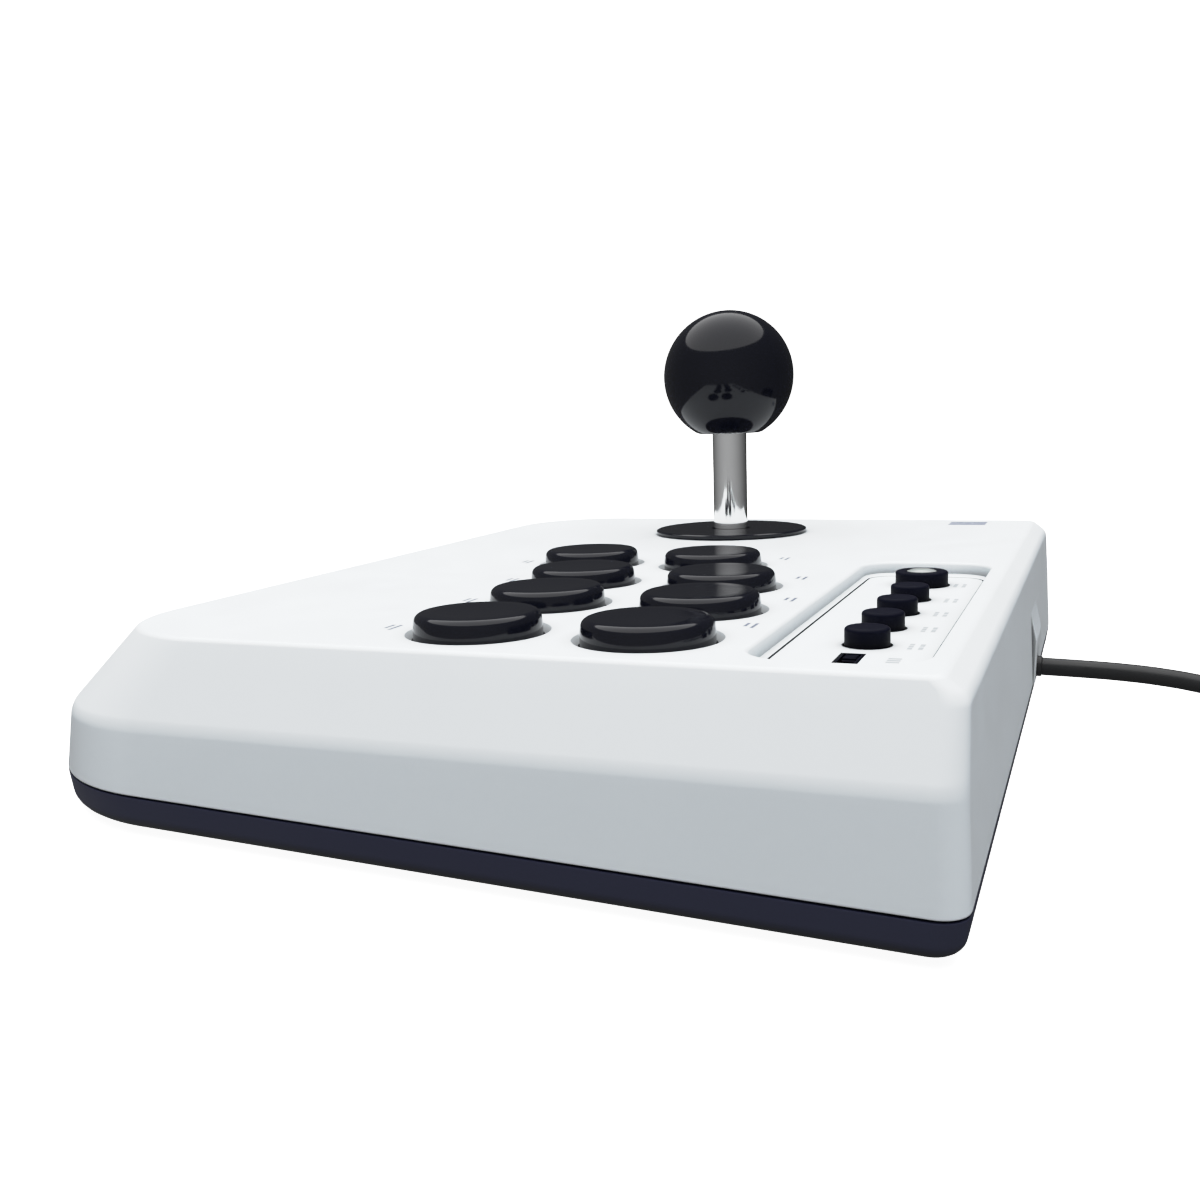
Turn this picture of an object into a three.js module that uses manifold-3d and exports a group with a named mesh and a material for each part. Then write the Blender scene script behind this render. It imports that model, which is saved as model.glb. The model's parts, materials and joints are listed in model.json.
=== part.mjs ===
// An arcade joystick panel: a two-part plastic case with eight round push buttons, a ball-top joystick on a
// two-axis gimbal, a recessed strip of option buttons, and a USB cable whose spare length is coiled behind.
// Millimetres. +X is the player's right, +Y is away from the player, +Z is up, and z = 0 is the table.

import * as THREE from 'three';
import { mergeVertices } from 'three/addons/utils/BufferGeometryUtils.js';
import Module from 'manifold-3d';

const wasm = await Module();
wasm.setup();

// ---------------------------------------------------------------- driving dimensions

const GAP = 0.3; // clearance between pieces that touch
const WALL = 2.5;

const HALF_WIDTH = 108;
const FRONT = -82.25;
const BACK = 80.75;
const FOOT_HEIGHT = 1.2;
const SEAM = 7; // top of the dark bottom shell
const TOP_SLOPE = 0.035; // rise of the panel per millimetre towards the back
const EDGE_HEIGHT = 20.45; // where the upright walls end, at y = 0
const PANEL_HEIGHT = 34.17; // the panel's upper face, at y = 0

// How far each level of the case lies inside its widest outline, and the radii of its corners.
const NO_INSET = { side: 0, front: 0, back: 0, frontCorner: 31, backCorner: 4.6 };
const FOOT_INSET = { side: 1.5, front: 1.5, back: 1.5, frontCorner: 29.5, backCorner: 4.6 };
const EDGE_INSET = { side: 1.7, front: 0.6, back: 1.2, frontCorner: 30, backCorner: 4.4 };
const SHOULDER_INSET = { side: 6.8, front: 11.4, back: 2, frontCorner: 25.2, backCorner: 3.4 };
const TOP_INSET = { side: 8.1, front: 14.1, back: 5.5, frontCorner: 24, backCorner: 2.2 };
const SHOULDER_SHARE = 0.8; // the shoulder's height between the wall's edge and the panel

const BUTTONS = [
  [84, 0.6], [55.9, 0.1], [29.9, -3.8], [2.5, -13.2],
  [83.5, 29.5], [57.4, 29.6], [31.2, 25.6], [2.4, 15.1],
];
const CAP_RADIUS = 10.5;
const CAP_HEIGHT = 3.4;
const CAP_SKIRT = 3.5;
const COLLAR_RADIUS = 11.25;
const COUNTERSINK_RADIUS = 12;

const RECESS = { left: -10, right: 95, front: 45.8, back: 72.8, corner: 8, depth: 2.3 };
const PLATE = { left: -3.5, right: 88, front: 48.6, back: 71.2, corner: 5, thickness: 1.6 };
const OPTION_Y = 60.5;
const OPTION_BUTTONS = [70.3, 55.8, 41.1, 26.2];
const OPTION_RADIUS = 3.5;
const HOME = { x: 7.7, y: 60.1, radius: 5.1 };
const OPTION_TOP = 0.6;
const OPTION_CLEARANCE = 0.4;
const SLIDER = { x: 81, y: 59.7, halfLength: 4, halfWidth: 1.9, knobHalfWidth: 1.1 };

const STICK = { x: -62.8, y: 0.3 };
const PIVOT_DEPTH = 14;
const SHAFT_RADIUS = 4.5;
const CORE_RADIUS = 3;
const BALL_RADIUS = 17.1;
const BALL_HEIGHT = 41.3;
const BALL_FLAT = 14.8; // from the ball's centre down to its flat
const WASHER_RADIUS = 20;
const WASHER_THICKNESS = 1;
const PANEL_HOLE = 8.8;

const BOARD_TOP = -8.3;
const BOARD_THICKNESS = 1.6;
const POST_RADIUS = 3.5;
const POSTS = [[-92, -42], [92, -42], [-92, 71], [92, 71]];
const FEET = [[-84, -58], [84, -58], [-96, 56], [96, 56]];

const BOSS = { left: -45, right: -27, low: SEAM + GAP, high: 25, stand: 0.35 };
const BOSS_SLOPE = { height: 7.5, depth: 1.9 }; // how the boss's upper part leans into the wall
const CABLE_RADIUS = 2;
const CABLE_EXIT = { x: -33, z: 10.6 };
const GROMMET = { neck: 2.3, shank: 2.5, flange: 3.3, neckLength: 2 };
const GROMMET_FACE = BACK + 1.5;
const CABLE_START = GROMMET_FACE + GAP;
const CABLE_RUN = [
  [-33, CABLE_START, 10.6], [-33, 90, 10.7], [-33, 98, 10.7], [-32.9, 106, 10.4], [-32.8, 114, 9.6],
  [-32.7, 122, 8.2], [-32.7, 130, 6.2], [-32.9, 137, 4.4], [-33.5, 142, 3.3], [-34.1, 145.4, 2.8],
];
const COIL = { x: -68, y: 160, radius: 24, columns: 5, rows: 4, pitch: 4.1, low: 0.8 };
const CABLE_LEAD = [
  [-37.6, 149.6, 19.9], [-36.6, 154, 20.8], [-36.1, 160, 21.6], [-37.6, 166.3, 22], [-42, 171.2, 22],
  [-48.5, 173, 22], [-51, 173, 22],
];
const PLUG = { x: -51.3, y: 173, z: 22, relief: 10, length: 28, width: 14, height: 7.6 };
const PLUG_SHELL = { length: 18, width: 12, height: 4.5, wall: 0.4 };

// ---------------------------------------------------------------- materials

function plastic(color, roughness) {
  return new THREE.MeshStandardMaterial({ color, roughness, metalness: 0 });
}

function metal(color, roughness) {
  return new THREE.MeshStandardMaterial({ color, roughness, metalness: 1 });
}

const WHITE_PLASTIC = plastic(0xeef1f3, 0.45);
const DARK_PLASTIC = plastic(0x25283a, 0.5);
const BLACK_GLOSS = plastic(0x17181c, 0.12);
const BLACK_MATTE = plastic(0x1b1c22, 0.55);
const SILICONE = plastic(0xb9bcbf, 0.8);
const BOARD_GREEN = plastic(0x1f5a35, 0.4);
const LENS = plastic(0xc3c6c4, 0.25);
const RUBBER = plastic(0x202124, 0.9);
const CHROME = metal(0xd8dadc, 0.08);
const STEEL = metal(0x9a9da0, 0.35);

// ---------------------------------------------------------------- geometry helpers

// A solid for cutting and joining, from a closed geometry.
function solid(geometry) {
  const bare = geometry.clone();
  bare.deleteAttribute('normal');
  bare.deleteAttribute('uv');
  const merged = mergeVertices(bare, 1e-4);
  const index = merged.index.array;
  const triangles = [];
  for (let i = 0; i < index.length; i += 3) {
    const [a, b, c] = [index[i], index[i + 1], index[i + 2]];
    if (a !== b && b !== c && c !== a) triangles.push(a, b, c);
  }
  const vertices = new Float32Array(merged.attributes.position.array);
  return new wasm.Manifold(new wasm.Mesh({
    numProp: 3,
    vertProperties: vertices,
    triVerts: new Uint32Array(triangles),
  }));
}

function geometryOf(manifold) {
  const mesh = manifold.getMesh();
  const geometry = new THREE.BufferGeometry();
  geometry.setAttribute('position', new THREE.BufferAttribute(new Float32Array(mesh.vertProperties), 3));
  geometry.setIndex(new THREE.BufferAttribute(new Uint32Array(mesh.triVerts), 1));
  geometry.computeVertexNormals();
  return geometry;
}

function joined(...geometries) {
  return geometries.map(solid).reduce((whole, piece) => whole.add(piece));
}

// A solid of revolution about Z from [radius, z] pairs.
function turned(profile, segments) {
  const points = profile.map(([radius, z]) => new THREE.Vector2(radius, z));
  return new THREE.LatheGeometry(points, segments).rotateX(Math.PI / 2);
}

function rod(radius, low, high, segments) {
  return turned([[0, low], [radius, low], [radius, high], [0, high]], segments);
}

function tube(inner, outer, low, high, segments) {
  return turned([[inner, low], [outer, low], [outer, high], [inner, high], [inner, low]], segments);
}

function block(left, right, front, back, low, high) {
  return new THREE.BoxGeometry(right - left, back - front, high - low)
    .translate((left + right) / 2, (front + back) / 2, (low + high) / 2);
}

// The points around a rectangle with rounded corners, anticlockwise from above.
function outline({ left, right, front, back, frontCorner, backCorner }, steps, heightAt) {
  const [frontX, frontY] = frontCorner;
  const [backX, backY] = backCorner;
  const corners = [
    [right - backX, back - backY, backX, backY, steps.back],
    [left + backX, back - backY, backX, backY, steps.back],
    [left + frontX, front + frontY, frontX, frontY, steps.front],
    [right - frontX, front + frontY, frontX, frontY, steps.front],
  ];
  return corners.flatMap(([x, y, radiusX, radiusY, count], quarter) => {
    const points = [];
    for (let step = 0; step <= count; step += 1) {
      const angle = (quarter + step / count) * Math.PI / 2;
      const pointY = y + radiusY * Math.sin(angle);
      points.push(new THREE.Vector3(x + radiusX * Math.cos(angle), pointY, heightAt(pointY)));
    }
    return points;
  });
}

// A closed solid through outlines stacked from the lowest to the highest.
function loft(outlines) {
  const count = outlines[0].length;
  const points = outlines.flat();
  const middle = (ring) => ring
    .reduce((sum, point) => sum.add(point), new THREE.Vector3())
    .divideScalar(ring.length);
  const bottom = points.push(middle(outlines[0])) - 1;
  const top = points.push(middle(outlines[outlines.length - 1])) - 1;
  const lastRing = (outlines.length - 1) * count;
  const index = [];
  for (let i = 0; i < count; i += 1) {
    const next = (i + 1) % count;
    index.push(bottom, next, i);
    index.push(top, lastRing + i, lastRing + next);
    for (let ring = 0; ring < lastRing; ring += count) {
      index.push(ring + i, ring + next, ring + count + next);
      index.push(ring + i, ring + count + next, ring + count + i);
    }
  }
  const geometry = new THREE.BufferGeometry().setFromPoints(points);
  geometry.setIndex(index);
  geometry.computeVertexNormals();
  return geometry;
}

function roundedPlate({ left, right, front, back, corner }, low, high, steps) {
  const box = { left, right, front, back, frontCorner: [corner, corner], backCorner: [corner, corner] };
  return loft([low, high].map((z) => outline(box, { front: steps, back: steps }, () => z)));
}

// A round bar of the given radius along a smooth curve through the points.
function bar(points, radius, sides, steps) {
  const curve = new THREE.CatmullRomCurve3(points.map((point) => new THREE.Vector3(...point)));
  const section = new THREE.Shape();
  for (let side = 0; side < sides; side += 1) {
    const angle = (side / sides) * Math.PI * 2;
    const move = side === 0 ? 'moveTo' : 'lineTo';
    section[move](radius * Math.cos(angle), radius * Math.sin(angle));
  }
  return new THREE.ExtrudeGeometry(section, { steps, extrudePath: curve, bevelEnabled: false });
}

// ---------------------------------------------------------------- the scene

const group = new THREE.Group();
const panel = new THREE.Group(); // its z = 0 is the panel's upper face, which rises towards the back
panel.position.z = PANEL_HEIGHT;
panel.rotation.x = Math.atan(TOP_SLOPE);
panel.updateMatrix();
const stick = new THREE.Group(); // its Z axis is the joystick's shaft
stick.position.set(STICK.x, STICK.y, 0);
group.add(panel);
panel.add(stick);

function place(parent, name, shape, material) {
  const geometry = shape.isBufferGeometry ? shape : geometryOf(shape);
  const mesh = new THREE.Mesh(geometry, material);
  mesh.name = name;
  parent.add(mesh);
  return mesh;
}

// A cutting or joining solid that is given in the panel's own frame.
function onPanel(geometry) {
  return solid(geometry.clone().applyMatrix4(panel.matrix));
}

// ---------------------------------------------------------------- case

const CASE_STEPS = { front: 8, back: 3 };

function caseOutline(inset, wall, heightAt) {
  const frontCorner = inset.frontCorner - wall;
  const backCorner = Math.max(inset.backCorner - wall, 1.3);
  return outline({
    left: -HALF_WIDTH + inset.side + wall,
    right: HALF_WIDTH - inset.side - wall,
    front: FRONT + inset.front + wall,
    back: BACK - inset.back - wall,
    frontCorner: [frontCorner, frontCorner],
    backCorner: [backCorner, backCorner],
  }, CASE_STEPS, heightAt);
}

function topBody(wall, low, drop) {
  const shoulderHeight = EDGE_HEIGHT + SHOULDER_SHARE * (PANEL_HEIGHT - EDGE_HEIGHT);
  return loft([
    caseOutline(NO_INSET, wall, () => low),
    caseOutline(EDGE_INSET, wall, (y) => EDGE_HEIGHT - drop / 2 + TOP_SLOPE * y),
    caseOutline(SHOULDER_INSET, wall, (y) => shoulderHeight - drop / 2 + TOP_SLOPE * y),
    caseOutline(TOP_INSET, wall, (y) => PANEL_HEIGHT - drop + TOP_SLOPE * y),
  ]);
}

function recessCut() {
  const levels = [[-RECESS.depth, 1.1], [-1.9, 0.6], [-0.4, 0.3], [0, 0], [1, -0.4]];
  return loft(levels.map(([z, inset]) => outline({
    left: RECESS.left + inset,
    right: RECESS.right - inset,
    front: RECESS.front + inset,
    back: RECESS.back - 0.5 * inset,
    frontCorner: [RECESS.corner - inset, RECESS.corner - inset],
    backCorner: [RECESS.corner - inset, RECESS.corner - 0.5 * inset],
  }, { front: 5, back: 5 }, () => z)));
}

function grown({ left, right, front, back, corner }, by) {
  return { left: left - by, right: right + by, front: front - by, back: back + by, corner: corner + by };
}

// The flat pad on the back wall that the cable leaves through.
function cableBoss() {
  const face = BACK + BOSS.stand;
  const inside = BACK - WALL;
  const side = [
    [inside, BOSS.low], [face, BOSS.low], [face, BOSS.high - BOSS_SLOPE.height],
    [face - BOSS_SLOPE.depth, BOSS.high], [inside, BOSS.high],
  ];
  return loft([BOSS.left, BOSS.right].map((x) => side.map(([y, z]) => new THREE.Vector3(x, y, z))));
}

const STICK_POST = 20;
const STICK_POST_LOW = -5.9;

function topShell() {
  let shell = solid(topBody(0, SEAM + GAP, 0)).subtract(solid(topBody(WALL, SEAM - 1, WALL)));
  const underRecess = { left: -13, right: 97.5, front: 43, back: 75, corner: 6 };
  shell = shell.add(onPanel(roundedPlate(underRecess, -5.4, -2, 3)));
  for (const [x, y] of POSTS) {
    const postTop = PANEL_HEIGHT + TOP_SLOPE * y - WALL / 2;
    shell = shell.add(solid(rod(POST_RADIUS, SEAM - 3, postTop, 12).translate(x, y, 0)));
    shell = shell.subtract(solid(rod(1.5, SEAM - 4, EDGE_HEIGHT, 8).translate(x, y, 0)));
  }
  for (const [x, y] of [[-1, -1], [1, -1], [1, 1], [-1, 1]]) {
    const post = rod(3, STICK_POST_LOW, -2, 10);
    shell = shell.add(onPanel(post.translate(STICK.x + x * STICK_POST, STICK.y + y * STICK_POST, 0)));
  }
  const buttonHole = [
    [0, -8], [COLLAR_RADIUS + GAP, -8], [COLLAR_RADIUS + GAP, -0.8],
    [COUNTERSINK_RADIUS, 0], [COUNTERSINK_RADIUS, 1], [0, 1],
  ];
  for (const [x, y] of BUTTONS) {
    shell = shell.subtract(onPanel(turned(buttonHole, 24).translate(x, y, 0)));
  }
  shell = shell.subtract(onPanel(rod(PANEL_HOLE, -5, 1, 20).translate(STICK.x, STICK.y, 0)));
  shell = shell.subtract(onPanel(recessCut()));
  const seat = -RECESS.depth - PLATE.thickness - GAP;
  shell = shell.subtract(onPanel(roundedPlate(grown(PLATE, GAP), seat, 0, 4)));
  shell = shell.subtract(onPanel(roundedPlate(grown(PLATE, -2), -7, 0, 4)));
  shell = shell.add(solid(cableBoss()));
  const hole = rod(GROMMET.shank + GAP, -9, 9, 12).rotateX(Math.PI / 2);
  return shell.subtract(solid(hole.translate(CABLE_EXIT.x, BACK, CABLE_EXIT.z)));
}

function bottomShell() {
  const outside = loft([
    caseOutline(FOOT_INSET, 0, () => FOOT_HEIGHT),
    caseOutline(NO_INSET, 0, () => SEAM),
  ]);
  const inside = loft([
    caseOutline(FOOT_INSET, WALL, () => FOOT_HEIGHT + WALL),
    caseOutline(NO_INSET, WALL, () => SEAM + 1),
  ]);
  let shell = solid(outside).subtract(solid(inside));
  for (const [x, y] of POSTS) {
    shell = shell.subtract(solid(rod(1.7, 0, SEAM, 10).translate(x, y, 0)));
    shell = shell.subtract(solid(rod(3.3, 0, FOOT_HEIGHT + 1.2, 12).translate(x, y, 0)));
  }
  for (const [x, y] of FEET) {
    shell = shell.subtract(solid(rod(6.3, 0, FOOT_HEIGHT + 1, 16).translate(x, y, 0)));
  }
  return shell;
}

place(group, 'top_shell', topShell(), WHITE_PLASTIC);
place(group, 'bottom_shell', bottomShell(), DARK_PLASTIC);

FEET.forEach(([x, y], i) => {
  const foot = turned([[0, 0], [5.6, 0], [6, 0.5], [6, FOOT_HEIGHT + 0.7], [0, FOOT_HEIGHT + 0.7]], 16);
  place(group, `foot_${i + 1}`, foot, RUBBER).position.set(x, y, 0);
});

POSTS.forEach(([x, y], i) => {
  const [headLow, headTop] = [FOOT_HEIGHT + 0.1, FOOT_HEIGHT + 0.9];
  const screw = turned([[0, headLow], [3, headLow], [3, headTop], [1.2, headTop], [1.2, 16], [0, 17]], 12);
  place(group, `case_screw_${i + 1}`, screw, STEEL).position.set(x, y, 0);
});

// ---------------------------------------------------------------- push buttons

const capProfile = [
  [0, -CAP_SKIRT], [2.5, -CAP_SKIRT], [2.5, CAP_HEIGHT - 1.9], [CAP_RADIUS - 1.5, CAP_HEIGHT - 1.9],
  [CAP_RADIUS - 1.5, -CAP_SKIRT], [CAP_RADIUS, -CAP_SKIRT], [CAP_RADIUS, CAP_HEIGHT - 1.5],
  [CAP_RADIUS - 0.4, CAP_HEIGHT - 0.5], [CAP_RADIUS - 1.5, CAP_HEIGHT], [0, CAP_HEIGHT],
];

BUTTONS.forEach(([x, y], i) => {
  const cap = place(panel, `button_cap_${i + 1}`, turned(capProfile, 20), BLACK_GLOSS);
  cap.position.set(x, y, 0);
  const collar = tube(CAP_RADIUS + GAP, COLLAR_RADIUS, -6, -0.8, 20);
  place(panel, `button_collar_${i + 1}`, collar, BLACK_MATTE).position.set(x, y, 0);
});

function buttonMat() {
  let mat = solid(block(-12, 96, -26, 42, BOARD_TOP + GAP, BOARD_TOP + 1.1));
  for (const [x, y] of BUTTONS) {
    const dome = turned([[0, BOARD_TOP + 0.7], [6, BOARD_TOP + 0.7], [3, -6.1], [0, -6.1]], 10);
    mat = mat.add(solid(dome.translate(x, y, 0)));
  }
  return mat;
}

place(panel, 'button_mat', buttonMat(), SILICONE);
place(panel, 'main_board', block(-14, 97, -29, 66.5, BOARD_TOP - BOARD_THICKNESS, BOARD_TOP), BOARD_GREEN);

// ---------------------------------------------------------------- option strip

const PLATE_TOP = -RECESS.depth;

function controlPlate() {
  let plate = solid(roundedPlate(PLATE, PLATE_TOP - PLATE.thickness, PLATE_TOP, 4));
  const low = PLATE_TOP - PLATE.thickness - 1;
  for (const x of OPTION_BUTTONS) {
    const hole = rod(OPTION_RADIUS + OPTION_CLEARANCE, low, 0, 16);
    plate = plate.subtract(solid(hole.translate(x, OPTION_Y, 0)));
  }
  const homeHole = rod(HOME.radius + OPTION_CLEARANCE, low, 0, 20);
  plate = plate.subtract(solid(homeHole.translate(HOME.x, HOME.y, 0)));
  const { x, y, halfLength, halfWidth } = SLIDER;
  const slot = block(x - halfLength, x + halfLength, y - halfWidth, y + halfWidth, low, 0);
  return plate.subtract(solid(slot));
}

place(panel, 'control_plate', controlPlate(), WHITE_PLASTIC);

function optionCap(radius) {
  const low = -6.9;
  return turned([
    [0, low], [radius - 1.2, low], [radius, low + 0.5], [radius, OPTION_TOP - 0.5],
    [radius - 0.5, OPTION_TOP], [0, OPTION_TOP],
  ], 16);
}

OPTION_BUTTONS.forEach((x, i) => {
  place(panel, `option_button_${i + 1}`, optionCap(OPTION_RADIUS), BLACK_MATTE).position.set(x, OPTION_Y, 0);
});

const LENS_RADIUS = 2.9;
const lensSeat = rod(LENS_RADIUS + 0.2, OPTION_TOP - 0.8, OPTION_TOP + 1, 16);
const homeCap = solid(optionCap(HOME.radius)).subtract(solid(lensSeat));
place(panel, 'home_button', homeCap, BLACK_MATTE).position.set(HOME.x, HOME.y, 0);
const lens = turned([
  [0, OPTION_TOP - 0.5], [LENS_RADIUS, OPTION_TOP - 0.5], [LENS_RADIUS, OPTION_TOP],
  [1.5, OPTION_TOP + 0.4], [0, OPTION_TOP + 0.5],
], 16);
place(panel, 'home_lens', lens, LENS).position.set(HOME.x, HOME.y, 0);

const SLIDER_TRAVEL = 3.2;
const KNOB_LENGTH = 2 * (SLIDER.halfLength - 0.7) - SLIDER_TRAVEL;

function sliderBody() {
  const { halfLength, halfWidth } = SLIDER;
  const low = PLATE_TOP - PLATE.thickness - 2;
  const outer = block(-halfLength + GAP, halfLength - GAP, -halfWidth + GAP, halfWidth - GAP, low, PLATE_TOP);
  const well = block(-halfLength + 0.6, halfLength - 0.6, -halfWidth + 0.6, halfWidth - 0.6, low + 1.2, 0);
  return solid(outer).subtract(solid(well));
}

const slider = new THREE.Group();
slider.position.set(SLIDER.x, SLIDER.y, 0);
panel.add(slider);
place(slider, 'slide_switch_body', sliderBody(), BLACK_MATTE);
const knobLeft = -SLIDER.halfLength + 0.7;
const knobLow = PLATE_TOP - PLATE.thickness - 0.6;
const knobHalf = SLIDER.knobHalfWidth;
const knob = joined(
  block(knobLeft, knobLeft + KNOB_LENGTH, -knobHalf, knobHalf, knobLow, PLATE_TOP - 0.35),
  block(knobLeft + 0.9, knobLeft + 1.5, -knobHalf, knobHalf, PLATE_TOP - 0.5, PLATE_TOP),
);
place(slider, 'slide_switch_knob', knob, BLACK_MATTE);

// ---------------------------------------------------------------- joystick

function ballTop() {
  const low = BALL_HEIGHT - BALL_FLAT;
  const bore = CORE_RADIUS + 0.1;
  const profile = [[0, 43.5], [bore, 43.5], [bore, 31], [6.5, 31], [6.5, low]];
  const start = Math.asin(-BALL_FLAT / BALL_RADIUS);
  const steps = 11;
  for (let step = 0; step <= steps; step += 1) {
    const angle = start + (Math.PI / 2 - start) * (step / steps);
    const radius = step === steps ? 0 : BALL_RADIUS * Math.cos(angle);
    profile.push([radius, BALL_HEIGHT + BALL_RADIUS * Math.sin(angle)]);
  }
  return turned(profile, 24);
}

function stickShaft() {
  const core = CORE_RADIUS - 0.2;
  return turned([
    [0, -28.3], [CORE_RADIUS, -28.3], [CORE_RADIUS, -9.8], [SHAFT_RADIUS, -9.8],
    [SHAFT_RADIUS, 30.7], [core, 30.7], [core, 43], [0, 43],
  ], 20);
}

function stickHub() {
  const hub = solid(tube(CORE_RADIUS + GAP, 6, -PIVOT_DEPTH - 3.5, -PIVOT_DEPTH + 3.5, 16));
  const pin = (from, to) => rod(1.6, from, to, 10).rotateX(-Math.PI / 2).translate(0, 0, -PIVOT_DEPTH);
  return hub.add(solid(pin(4.5, 12.6))).add(solid(pin(-12.6, -4.5)));
}

function gimbalRing() {
  const ring = solid(tube(9.5, 13, -PIVOT_DEPTH - 2.5, -PIVOT_DEPTH + 2.5, 24));
  const pin = (from, to) => rod(1.6, from, to, 10).rotateY(Math.PI / 2).translate(0, 0, -PIVOT_DEPTH);
  const hole = rod(2, -15, 15, 10).rotateX(Math.PI / 2).translate(0, 0, -PIVOT_DEPTH);
  return ring.add(solid(pin(11, 16.2))).add(solid(pin(-16.2, -11))).subtract(solid(hole));
}

function springCoil() {
  const [turns, stepsPerTurn, radius, low, high] = [4, 10, 4.2, -22.1, -18.2];
  const points = [];
  for (let i = 0; i <= turns * stepsPerTurn; i += 1) {
    const angle = (i / stepsPerTurn) * Math.PI * 2;
    const z = low + (high - low) * (i / (turns * stepsPerTurn));
    points.push([radius * Math.cos(angle), radius * Math.sin(angle), z]);
  }
  return bar(points, 0.35, 5, turns * stepsPerTurn);
}

const GATE_TOP = -21.3;
const BASE_TOP = STICK_POST_LOW - GAP;

function stickBase() {
  const flange = block(-24, 24, -24, 24, BASE_TOP - 2, BASE_TOP);
  const cup = block(-17.5, 17.5, -17.5, 17.5, GATE_TOP + GAP, BASE_TOP - 1);
  const inside = block(-15, 15, -15, 15, GATE_TOP - 1, BASE_TOP - 2);
  const bearing = rod(2, -19, 19, 10).rotateY(Math.PI / 2).translate(0, 0, -PIVOT_DEPTH);
  return joined(flange, cup)
    .subtract(solid(inside))
    .subtract(solid(rod(9, BASE_TOP - 3, 0, 20)))
    .subtract(solid(bearing));
}

function restrictorGate() {
  const frame = block(-17.5, 17.5, -17.5, 17.5, GATE_TOP - 1.9, GATE_TOP);
  return solid(frame).subtract(solid(block(-7.5, 7.5, -7.5, 7.5, GATE_TOP - 3, 0)));
}

place(stick, 'ball_top', ballTop(), BLACK_GLOSS);
place(stick, 'stick_shaft', stickShaft(), CHROME);
place(stick, 'stick_hub', stickHub(), BLACK_MATTE);
place(stick, 'stick_spring', springCoil(), STEEL);
place(stick, 'stick_actuator', tube(CORE_RADIUS + GAP, 5.5, -26.5, -22.8, 16), BLACK_MATTE);
place(stick, 'retaining_clip', tube(CORE_RADIUS + GAP, 5.2, -27.6, -26.8, 12), STEEL);
place(stick, 'gimbal_ring', gimbalRing(), BLACK_MATTE);
place(stick, 'stick_base', stickBase(), BLACK_MATTE);
place(stick, 'restrictor_gate', restrictorGate(), BLACK_MATTE);

const washerHole = SHAFT_RADIUS + 0.6;
place(stick, 'dust_washer', turned([
  [washerHole, GAP], [WASHER_RADIUS, GAP], [WASHER_RADIUS, GAP + WASHER_THICKNESS - 0.4],
  [WASHER_RADIUS - 0.5, GAP + WASHER_THICKNESS], [washerHole, GAP + WASHER_THICKNESS], [washerHole, GAP],
], 36), BLACK_GLOSS);

const carrierSlot = { left: -7.8, right: 7.8, front: -5.6, back: 5.6, corner: 5.5 };
const carrier = solid(rod(13, -3.9, -2.9, 24)).subtract(solid(roundedPlate(carrierSlot, -5, -2, 4)));
place(stick, 'washer_carrier', carrier, BLACK_MATTE);

for (let i = 0; i < 4; i += 1) {
  const [low, high] = [GATE_TOP - 6.4, GATE_TOP - 2.2];
  const plunger = rod(1, 8.2, 9.5, 8).rotateY(Math.PI / 2).translate(0, 0, (low + high) / 2 - 0.4);
  const tact = joined(block(8.8, 12.4, -3, 3, low, high), plunger);
  place(stick, `tact_switch_${i + 1}`, tact, BLACK_MATTE).rotation.z = i * Math.PI / 2;
}

// ---------------------------------------------------------------- cable

const grommetNeckEnd = GROMMET.neckLength - GROMMET_FACE;
const grommet = turned([
  [0, -GROMMET_FACE], [GROMMET.neck, -GROMMET_FACE], [GROMMET.neck, grommetNeckEnd],
  [GROMMET.shank, grommetNeckEnd], [GROMMET.shank, -BACK + 3.6], [GROMMET.flange, -BACK + 3.6],
  [GROMMET.flange, -BACK + 5.2], [0, -BACK + 5.2],
], 12).rotateX(Math.PI / 2);
place(group, 'cable_grommet', grommet, BLACK_MATTE).position.set(CABLE_EXIT.x, 0, CABLE_EXIT.z);

place(group, 'cord_run', bar(CABLE_RUN, CABLE_RADIUS, 8, 26), BLACK_MATTE);
place(group, 'cord_lead', bar(CABLE_LEAD, CABLE_RADIUS, 8, 12), BLACK_MATTE);

const coilHalfWidth = (COIL.columns - 1) / 2 * COIL.pitch + CABLE_RADIUS;
const coilHigh = COIL.low + (COIL.rows - 1) * COIL.pitch + 2 * CABLE_RADIUS;
const [coilInner, coilOuter] = [COIL.radius - coilHalfWidth, COIL.radius + coilHalfWidth];
const coilRing = turned([
  [coilInner, COIL.low + 1], [coilInner + 1, COIL.low], [coilOuter - 1, COIL.low], [coilOuter, COIL.low + 1],
  [coilOuter, coilHigh - 1], [coilOuter - 1, coilHigh], [coilInner + 1, coilHigh], [coilInner, coilHigh - 1],
  [coilInner, COIL.low + 1],
], 32);
place(group, 'cord_coil', coilRing, BLACK_MATTE).position.set(COIL.x, COIL.y, 0);

const strap = solid(block(-coilOuter - 1.2, -coilInner + 1.4, -2.5, 2.5, 0, coilHigh + GAP + 0.8))
  .subtract(solid(block(-coilOuter - 0.4, -coilInner + 0.6, -5, 5, COIL.low - GAP, coilHigh + GAP)));
place(group, 'cord_tie', strap, BLACK_MATTE).position.set(COIL.x, COIL.y, 0);

function plugBody() {
  const { relief, length, width, height } = PLUG;
  const box = { left: -height / 2, right: height / 2, front: -width / 2, back: width / 2, corner: 2 };
  const grip = roundedPlate(box, relief - 1, relief + length, 3);
  const taper = turned([[0, 0], [2.2, 0], [3.1, relief], [0, relief]], 10);
  return joined(grip, taper);
}

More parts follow.
